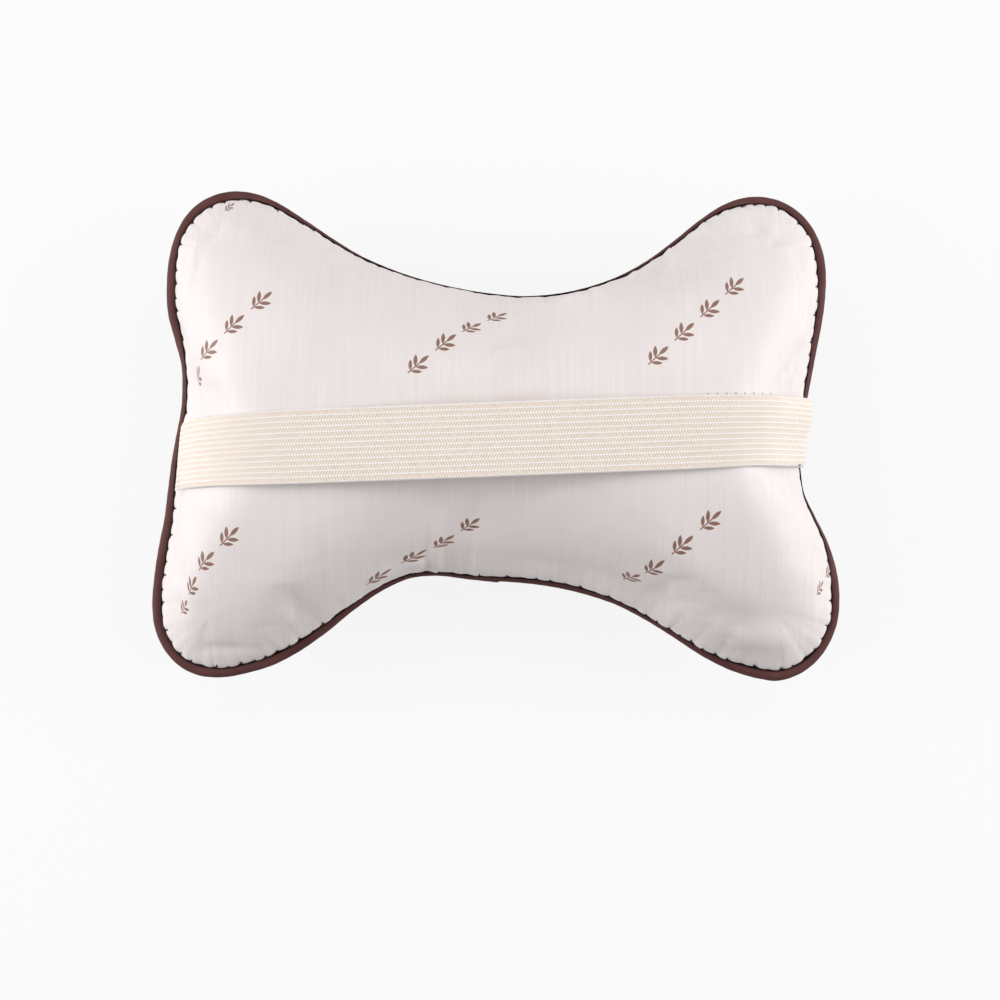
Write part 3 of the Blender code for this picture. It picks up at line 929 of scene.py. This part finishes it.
def tack_mesh(path, strap, thread):
    """Dark tacks in the cloth beside the strap's upper edge, and one in its lower right corner."""
    bm = bmesh.new()
    aside = strap.width * (0.5 * (1 - strap.drawn_in - strap.gathered)) + 1.2 * MM
    across = Vector((*path.across, 0)) * 0.3 * MM
    for x in np.arange(path.span - TACKS_FROM, path.span - TACKS_TO, TACK_PITCH):
        hit = path.cloth_under(x, aside)
        tube_between(bm, hit - across, hit + across, thread * 0.8)
    along = 1 - (strap.grip + 18 * MM) / path.length()
    u, v = np.array([along, along + 0.003]), np.array([0.0, 0.015])
    start, end = path.surface(u, v, strap.thickness + thread / 2)
    tube_between(bm, start, end, thread)
    return mesh_of(bm, "strap_tacks")


# Finishes


SPRIG_SIZE = 6 * MM  # half the square that one sprig is drawn in
SPRIG_SHIFT = (0.0135, -0.0090)
SPRIGS_IN_RUN, RUN_PERIOD, ROW_OFFSET = 4, 10.0, 5.0  # counted in sprigs
# Leaves of a sprig, in its half squares: how far along and aside, turn in radians and length.
SPRIG_LEAVES = ((0.52, 0.0, 0.0, 0.44), (0.05, 0.34, 0.80, 0.42), (-0.43, 0.32, 0.80, 0.38))


def print_mask(finish, layout, cloth):
    """1 on the printed sprigs: short diagonal rows of four, spaced out over the cloth."""
    x, y = finish.axes(finish.scaled(layout, (1, 1, 1), turn=-cloth.print_slant))
    along = finish.math("DIVIDE", finish.add(x, SPRIG_SHIFT[0]), cloth.print_spacing)
    across = finish.math("DIVIDE", finish.add(y, SPRIG_SHIFT[1]), cloth.print_rows)
    along = finish.add(along, finish.times(finish.math("FLOOR", across), ROW_OFFSET))
    place = finish.math("FLOORED_MODULO", finish.math("FLOOR", along), RUN_PERIOD)
    in_run = finish.below(place, SPRIGS_IN_RUN - 0.5)
    p = finish.swing(finish.math("FRACT", along), cloth.print_spacing / SPRIG_SIZE)
    q = finish.swing(finish.math("FRACT", across), cloth.print_rows / SPRIG_SIZE)
    side = finish.size(q)
    on_stem = finish.below(finish.size(finish.add(p, 0.40)), 0.55)
    sprig = finish.times(finish.below(side, 0.045), on_stem)
    for ahead, out, turn, length in SPRIG_LEAVES:
        px, py = finish.minus(p, ahead), finish.minus(side, out)
        c, s = float(np.cos(turn)), float(np.sin(turn))
        a = finish.add(finish.times(px, c), finish.times(py, s))
        b = finish.minus(finish.times(py, c), finish.times(px, s))
        bulge = finish.add(finish.size(b), length * 1.35)
        squares = finish.add(finish.times(a, a), finish.times(bulge, bulge))
        leaf = finish.below(finish.math("SQRT", squares), length * 1.68)
        sprig = finish.math("MAXIMUM", sprig, leaf)
    return finish.times(sprig, in_run)


def satin_finish(cloth):
    """Pale satin with fine upright threads, soft broad shades and the printed sprigs."""
    finish = Finish("satin_lining", Roughness=0.46, Sheen_Weight=0.12, Sheen_Roughness=0.4)
    place = finish.place()
    slubs = finish.noise(finish.scaled(place, (2300, 26, 26)), 1.0, 3.0)
    broad = finish.noise(finish.scaled(place, (500, 12, 12)), 1.0)
    soft = finish.noise(place, 22.0, 3.0)
    shade = finish.add(finish.swing(slubs, 0.44), finish.swing(broad, 0.10))
    shade = finish.add(finish.add(shade, 0.5), finish.swing(soft, 0.4))
    base = finish.mix(finish.ramp(shade, 0.15, 0.85), cloth.colour_dark, cloth.colour)
    mask = print_mask(finish, finish.layout("cloth_lay"), cloth)
    ink = finish.times(finish.times(mask, finish.ramp(slubs, 0.12, 0.34)), 0.9)
    finish.colour(finish.mix(ink, base, cloth.print_colour))
    fine = finish.noise(finish.scaled(place, (3600, 900, 900)), 1.0, 1.0)
    finish.roughness(finish.node("MapRange", {"Value": slubs, "To Min": 0.40, "To Max": 0.56}))
    finish.bump(finish.add(finish.times(slubs, 0.6), finish.times(fine, 0.4)), 0.10 * MM, 0.6)
    return finish.material


def weave_finish(name, vector_of, scale, colour, light, sheen):
    """A plain weave of fine threads in two directions, with a painted highlight on its crowns."""
    finish = Finish(
        name, Roughness=0.70, Specular_IOR_Level=0.25, Sheen_Weight=sheen, Sheen_Roughness=0.35
    )
    wave = {"Vector": vector_of(finish), "Scale": scale, "Distortion": 0.6, "Detail": 1.0}
    weave = finish.times(*(finish.node("TexWave", wave, 1, bands_direction=d) for d in "XY"))
    patches = finish.noise(finish.place(), 90.0, 4.0)
    value = finish.add(finish.times(weave, 0.6), finish.times(patches, 0.5))
    # The light colour is a painted highlight on the crowns of the weave, mixed in by the weave and
    # its patches.
    finish.colour(finish.mix(finish.ramp(value, 0.1, 0.8), colour, light))
    finish.bump(weave, 0.08 * MM, 0.7)
    return finish.material


def elastic_finish(strap):
    """Smooth raised ribs, and a zigzag of knitted loops between them."""
    finish = Finish("elastic", Roughness=0.72, Sheen_Weight=0.15, Sheen_Roughness=0.5)
    u, v = finish.axes(finish.layout("strap_lay"))
    place = finish.place()
    across = finish.times(v, strap.ribs / strap.width)
    rib = finish.ramp(finish.size(finish.math("COSINE", finish.times(across, pi))), 0.88, 0.985)
    zigzag = finish.times(finish.math("PINGPONG", across, 1.0), 1.2)
    ladder = finish.add(finish.math("DIVIDE", u, strap.loop_pitch), zigzag)
    loops = finish.size(finish.math("SINE", finish.times(ladder, pi)))
    patchy = finish.swing(finish.noise(place, 700.0), 0.6)
    knit = finish.ramp(finish.add(loops, patchy), 0.35, 0.85)
    thread = finish.mix(finish.noise(place, 30.0), strap.colour, strap.warm_colour)
    gap = finish.mix(knit, strap.knit_colour, thread)
    finish.colour(finish.mix(rib, gap, strap.rib_colour))
    finish.bump(finish.add(finish.times(loops, 0.6), finish.times(rib, 0.5)), 0.16 * MM, 0.8)
    return finish.material


def fuzzy_finish(name, colour, scale, depth):
    """Loose fluff, with painted shade in its hollows."""
    finish = Finish(name, Roughness=0.9, Sheen_Weight=0.3)
    fluff = finish.noise(finish.place(), scale, 6.0)
    # Where the fluff is low, its colour is darkened to 0.8: painted shade in the hollows.
    finish.colour(finish.mix(fluff, tuple(0.8 * c for c in colour), colour))
    finish.bump(fluff, depth)
    return finish.material


def thread_finish(name, colour):
    """Twisted thread, with painted shade between its strands."""
    finish = Finish(name, Roughness=0.8, Specular_IOR_Level=0.2)
    strand = finish.noise(finish.scaled(finish.place(), (900, 900, 2600)), 1.0)
    # Between the strands the colour is darkened to 0.6: painted shade.
    finish.colour(finish.mix(strand, tuple(0.6 * c for c in colour), colour))
    finish.bump(strand, 0.05 * MM)
    return finish.material


def floor_finish(stage):
    """Pale paper that shows nearly white to the camera and keeps the pillow's shadow."""
    finish = Finish("pale_floor", Roughness=0.9, Base_Color=(*stage.floor_colour, 1))
    rays = finish.tree.nodes.new("ShaderNodeLightPath")
    seen = finish.math("MAXIMUM", rays.outputs["Is Camera Ray"], rays.outputs["Is Glossy Ray"])
    seen = finish.math("MAXIMUM", seen, rays.outputs["Is Transmission Ray"])
    glow = finish.node("Emission", {"Color": (1, 1, 1, 1), "Strength": 1.0})
    share = finish.times(seen, stage.floor_glow)
    mixed = finish.node("MixShader", {0: share, 1: finish.shader.outputs[0], 2: glow})
    output = next(n for n in finish.tree.nodes if n.type == "OUTPUT_MATERIAL")
    finish.tree.links.new(mixed, output.inputs["Surface"])
    return finish.material


# Settings


def length(name, description, default):
    return FloatProperty(
        name=name, description=description, default=default, unit="LENGTH", precision=4
    )


def share(name, description, default):
    return FloatProperty(name=name, description=description, default=default)


def colour(name, description, default):
    return FloatVectorProperty(
        name=name, description=description, default=default, subtype="COLOR", size=3, min=0, max=1
    )


class PillowClothSettings(bpy.types.PropertyGroup):
    voxel: length("Mesh step", "Step of the even mesh that the cloth is simulated on", 0.0045)
    held_band: length("Held band", "Cloth this close to the seam does not move", 0.004)
    free_band: length("Free band", "From the held band to where the cloth moves freely", 0.030)
    shrink: length("Start shrink", "How much smaller the cushion starts", 0.0015)
    most_swell: length("Most swell", "The furthest that the stuffing pushes the cloth out", 0.0045)
    pressure: share("Pressure", "Push of the stuffing on the cloth", 4.0)
    ease: share("Ease", "Spare cloth, as a share of its length", 0.012)
    stiffness: share("Stiffness", "How hard the cloth resists stretching", 20.0)
    bending: share("Bending", "How hard the cloth resists folding", 0.4)
    steps: IntProperty(name="Steps", description="Steps of the simulation", default=20)
    fold_inside: length("Fold", "From the cord's middle to the fold of the cloth", 0.0026)
    sewn_height: length("Sewn height", "Height over which the cloth is drawn to the seam", 0.0016)
    hang_height: length("Hang height", "Over the seam, where the cloth hangs out most", 0.011)
    hang_reach: length("Hang reach", "How far inside the seam the cloth moves with it", 0.030)
    stitch: length("Stitch", "Length of one stitch of the seam", 0.0061)
    scallop: length("Scallop", "How far each stitch pulls the cloth in", 0.0008)
    colour: colour("Cloth", "The satin lining", (0.85, 0.79, 0.775))
    colour_dark: colour("Cloth shade", "The darker threads of the lining", (0.72, 0.655, 0.645))
    print_colour: colour("Print", "Ink of the sprigs", (0.20, 0.068, 0.034))
    print_slant: FloatProperty(
        name="Slant", description="Direction of the rows of sprigs", default=0.74, subtype="ANGLE"
    )
    print_spacing: length("Sprig spacing", "From one sprig to the next", 0.0150)
    print_rows: length("Row spacing", "From one row of sprigs to the next", 0.064)
    front_colour: colour("Front", "The woven cloth of the front", (0.080, 0.036, 0.034))
    # Front light: a painted highlight on the crowns of the front's threads, not a lamp.
    front_painted_highlight: colour("Front light", "The crowns of its threads", (0.150, 0.078, 0.072))
    fibre_colour: colour("Fibre", "The filling", (0.86, 0.86, 0.85))


class PillowPipingSettings(bpy.types.PropertyGroup):
    diameter: length("Diameter", "Across the corded edge", 0.0052)
    cloth: length("Cloth", "Thickness of the cloth round the cord", 0.0006)
    join_at: FloatVectorProperty(
        name="Join",
        description="Where the two ends lap",
        default=(0.0016, -0.0620),
        size=2,
        unit="LENGTH",
    )
    lap_length: length("Lap length", "Over which the lap fades", 0.022)
    lap_height: share("Lap height", "How much thicker the lap is", 0.20)
    thread: length("Thread", "Radius of the seam's thread", 0.00028)
    colour: colour("Cloth", "The dark cloth round the cord", (0.066, 0.018, 0.018))
    # Cloth light: a painted highlight on the crowns of the piping's threads, not a lamp.
    light: colour("Cloth light", "The crowns of its threads", (0.152, 0.064, 0.059))
    # Also the colour of the dark line in the valley beside the piping, which is partly painted
    # shadow.
    thread_colour: colour("Thread", "The seam's thread", (0.007, 0.003, 0.003))
    core_colour: colour("Cord", "The cord inside", (0.70, 0.66, 0.58))


class PillowStrapSettings(bpy.types.PropertyGroup):
    width: length("Width", "Across the elastic", 0.030)
    thickness: length("Thickness", "Of the elastic", 0.0012)
    clearance: length("Clearance", "Over the highest cloth under it", 0.0004)
    grip: length("Grip", "Length held in the seam", 0.0065)
    left_slide: length("Left slide", "How far its left end has slid to the lower edge", 0.0002)
    right_slide: length("Right slide", "How far its right end has slid to the lower edge", 0.0024)
    drawn_in: share("Drawn in", "Share by which the stretch narrows it", 0.02)
    gathered: share("Gathered", "Share by which its ends are gathered", 0.035)
    corner: length("Corner", "How far its corners are rounded in", 0.0007)
    left_swing: length("Left swing", "How far the left end stands out", -0.0015)
    left_lean: length("Left lean", "How much further out the left end stands at its top", 0.0030)
    right_swing: length("Right swing", "How far the right end stands out", 0.0040)
    right_bulge: length("Right bulge", "How far the top half of the right end bulges", 0.0014)
    swing_height: length("Swing height", "Height of the outermost place over the seam", 0.012)
    ribs: IntProperty(name="Ribs", description="Ribs across the elastic", default=13)
    rib_samples: IntProperty(name="Rib samples", description="Faces across one rib", default=8)
    rib_height: length("Rib height", "Of the ribs over the knit", 0.00010)
    loop_pitch: length("Loop pitch", "Between the loops of the knit", 0.00115)
    loop_radius: length("Loop radius", "Of the edge's loops", 0.00045)
    colour: colour("Elastic", "The knit of the elastic", (0.91, 0.84, 0.765))
    warm_colour: colour("Warm knit", "The warmer patches of the knit", (0.91, 0.82, 0.72))
    knit_colour: colour("Knit", "The gaps of the knit", (0.60, 0.47, 0.38))
    rib_colour: colour("Ribs", "The raised ribs", (0.90, 0.855, 0.83))
    edge_colour: colour("Edge", "The loops of its edges", (0.93, 0.90, 0.90))


class PillowStageSettings(bpy.types.PropertyGroup):
    distance: length("Distance", "From the camera to the seam's middle", VIEW_DISTANCE)
    tilt: FloatProperty(
        name="Tilt",
        description="Of the camera to the lower edge",
        default=VIEW_TILT,
        subtype="ANGLE",
    )
    view_width: length("View width", "Seen at the height of the seam", 0.4377)
    shift_x: share("Shift X", "Of the picture, in its widths", 0.0039)
    shift_y: share("Shift Y", "Of the picture, in its widths", -0.0623)
    floor_colour: colour("Floor", "The paper under the pillow", (0.66, 0.66, 0.66))
    floor_glow: share("Floor glow", "Share of plain white that the camera sees", 0.88)
    sky: share("Sky", "Strength of the light from all round", 0.23)
    side_light: FloatProperty(name="Side lights", description="Power", default=11.2, unit="POWER")
    top_light: FloatProperty(name="Top light", description="Power", default=4.5, unit="POWER")


# Operators

BIAS_TURN = 0.78  # radians, by which the piping's cloth is cut across its weave
LEFT_OVER_RIGHT = 1.04  # power of the left lamp against the right one


class PILLOW_OT_cushion(bpy.types.Operator):
    """Builds the stuffed back, front and filling"""

    bl_idname = "pillow.cushion"
    bl_label = "Cushion"

    def execute(self, context):
        cloth = context.scene.pillow_cloth
        cushion = stuffed(remeshed(joined_skins(), cloth.voxel), cloth)
        satin = satin_finish(cloth)
        woven = weave_finish(
            "front_weave",
            lambda finish: finish.layout("cloth_lay"),
            scale=260.0,
            colour=cloth.front_colour,
            light=cloth.front_painted_highlight,
            sheen=0.2,
        )
        for name, side, finish in (("back", 1, satin), ("front", -1, woven)):
            mesh = dress(half_of(cushion, side), side, cloth)
            add_hem(mesh, side)
            lay_out(mesh, side)
            piece = add_piece(f"{name}_cloth", mesh, finish, [f"{name}_panel"])
        fibre = fuzzy_finish("loose_fibre", cloth.fibre_colour, 160.0, 1.5 * MM)
        add_piece("fibre_fill", filling_mesh(cushion), fibre, ["fibre_filling"])
        return {"FINISHED"}


class PILLOW_OT_piping(bpy.types.Operator):
    """Builds the cloth and the cord of the seam's piping"""

    bl_idname = "pillow.piping"
    bl_label = "Piping"

    def execute(self, context):
        piping = context.scene.pillow_piping
        bias = weave_finish(
            "piping_weave",
            lambda finish: finish.scaled(finish.place(), (1, 1, 1), turn=BIAS_TURN),
            scale=420.0,
            colour=piping.colour,
            light=piping.light,
            sheen=0.05,
        )
        add_piece("piping_strip", piping_mesh(piping), bias, ["piping"])
        core = swept_mesh(loop_curve("core_line", SEAM.points, SEAM_Z), CORD_DIAMETER / 2)
        twist = fuzzy_finish("soft_cord", piping.core_colour, 900.0, 0.2 * MM)
        add_piece("piping_core", core, twist, ["piping_cord"])
        return {"FINISHED"}


class PILLOW_OT_stitches(bpy.types.Operator):
    """Sews the seam's thread, and lays a dark line of thread and painted shadow beside the piping
    """

    bl_idname = "pillow.stitches"
    bl_label = "Stitches"

    def execute(self, context):
        piping, cloth = context.scene.pillow_piping, context.scene.pillow_cloth
        back = bpy.data.objects["back_cloth"]
        thread = thread_finish("seam_thread", piping.thread_colour)
        add_piece("seam_stitches", stitch_mesh(back, piping, cloth), thread)
        # The run along the valley is part thread, part painted shadow of the valley beside the
        # piping.
        add_piece("seam_run_and_shade", valley_mesh(piping), thread)
        return {"FINISHED"}


class PILLOW_OT_strap(bpy.types.Operator):
    """Stretches the elastic strap over the back"""

    bl_idname = "pillow.strap"
    bl_label = "Strap"

    def execute(self, context):
        strap, cloth = context.scene.pillow_strap, context.scene.pillow_cloth
        path = StrapPath(bpy.data.objects["back_cloth"], strap, cloth)
        band = band_mesh(path, strap)
        band = add_piece("strap_band", band, elastic_finish(strap), ["elastic_strap"])
        body = band.modifiers.new("body", "SOLIDIFY")
        body.thickness = strap.thickness
        body.offset = -1
        edge = fuzzy_finish("edge_loops", strap.edge_colour, 900.0, 0.05 * MM)
        edges = add_piece("strap_edges", edge_mesh(path, strap), edge)
        piping = context.scene.pillow_piping
        dark = thread_finish("tack_thread", piping.thread_colour)
        add_piece("strap_tacks", tack_mesh(path, strap, piping.thread), dark)
        path.length()
        return {"FINISHED"}


class PILLOW_OT_stage(bpy.types.Operator):
    """Sets the floor, the lights and the camera"""

    bl_idname = "pillow.stage"
    bl_label = "Stage"

    def execute(self, context):
        stage = context.scene.pillow_stage
        scene = context.scene
        scene.view_settings.view_transform = "Standard"
        bm = bmesh.new()
        bmesh.ops.create_grid(bm, x_segments=1, y_segments=1, size=4.0)
        floor = link("floor", mesh_of(bm, "floor"))
        floor.data.materials.append(floor_finish(stage))

        world = bpy.data.worlds.new("studio")
        world.use_nodes = True
        background = world.node_tree.nodes["Background"].inputs
        background["Color"].default_value = (1, 1, 1, 1)
        background["Strength"].default_value = stage.sky
        scene.world = world
        middle = Vector((0, 0, SEAM_Z))
        for name, place, size, power in (
            ("left_light", (-1.05, 0.02, 0.55), (0.8, 0.9), stage.side_light * LEFT_OVER_RIGHT),
            ("right_light", (1.05, 0.10, 0.55), (0.8, 0.9), stage.side_light),
            ("top_light", (0.0, 0.75, 1.00), (1.4, 0.7), stage.top_light),
        ):
            lamp = bpy.data.lights.new(name, "AREA")
            lamp.shape = "RECTANGLE"
            lamp.size, lamp.size_y = size
            lamp.energy = power
            light = link(name, lamp)
            light.location = place
            light.rotation_euler = (middle - light.location).to_track_quat("-Z", "Y").to_euler()

        lens = bpy.data.cameras.new("camera")
        lens.sensor_width = 36
        lens.lens = lens.sensor_width * stage.distance / stage.view_width
        lens.shift_x, lens.shift_y = stage.shift_x, stage.shift_y
        camera = link("camera", lens)
        aim = Vector((*VIEW_AIM, SEAM_Z))
        camera.location = aim + Matrix.Rotation(stage.tilt, 3, "X") @ Vector((0, 0, stage.distance))
        camera.rotation_euler = (stage.tilt, 0, 0)
        scene.camera = camera
        return {"FINISHED"}


class PILLOW_PT_panel(bpy.types.Panel):
    """Lists the pillow's pieces"""

    bl_idname = "PILLOW_PT_panel"
    bl_label = "Car neck pillow"
    bl_space_type = "VIEW_3D"
    bl_region_type = "UI"
    bl_category = "Pillow"

    def draw(self, context):
        for operator in OPERATORS:
            self.layout.operator(operator.bl_idname)


SETTINGS = {
    "pillow_cloth": PillowClothSettings,
    "pillow_piping": PillowPipingSettings,
    "pillow_strap": PillowStrapSettings,
    "pillow_stage": PillowStageSettings,
}
OPERATORS = [
    PILLOW_OT_cushion,
    PILLOW_OT_piping,
    PILLOW_OT_stitches,
    PILLOW_OT_strap,
    PILLOW_OT_stage,
]
CLASSES = (*SETTINGS.values(), *OPERATORS, PILLOW_PT_panel)


def register():
    for group in CLASSES:
        bpy.utils.register_class(group)
    for name, group in SETTINGS.items():
        setattr(bpy.types.Scene, name, PointerProperty(type=group))


def unregister():
    for name in SETTINGS:
        delattr(bpy.types.Scene, name)
    for group in reversed(CLASSES):
        bpy.utils.unregister_class(group)


def main():
    register()
    pillow = bpy.ops.pillow
    for step in (pillow.cushion, pillow.piping, pillow.stitches, pillow.strap, pillow.stage):
        step()


if __name__ == "__main__":
    main()
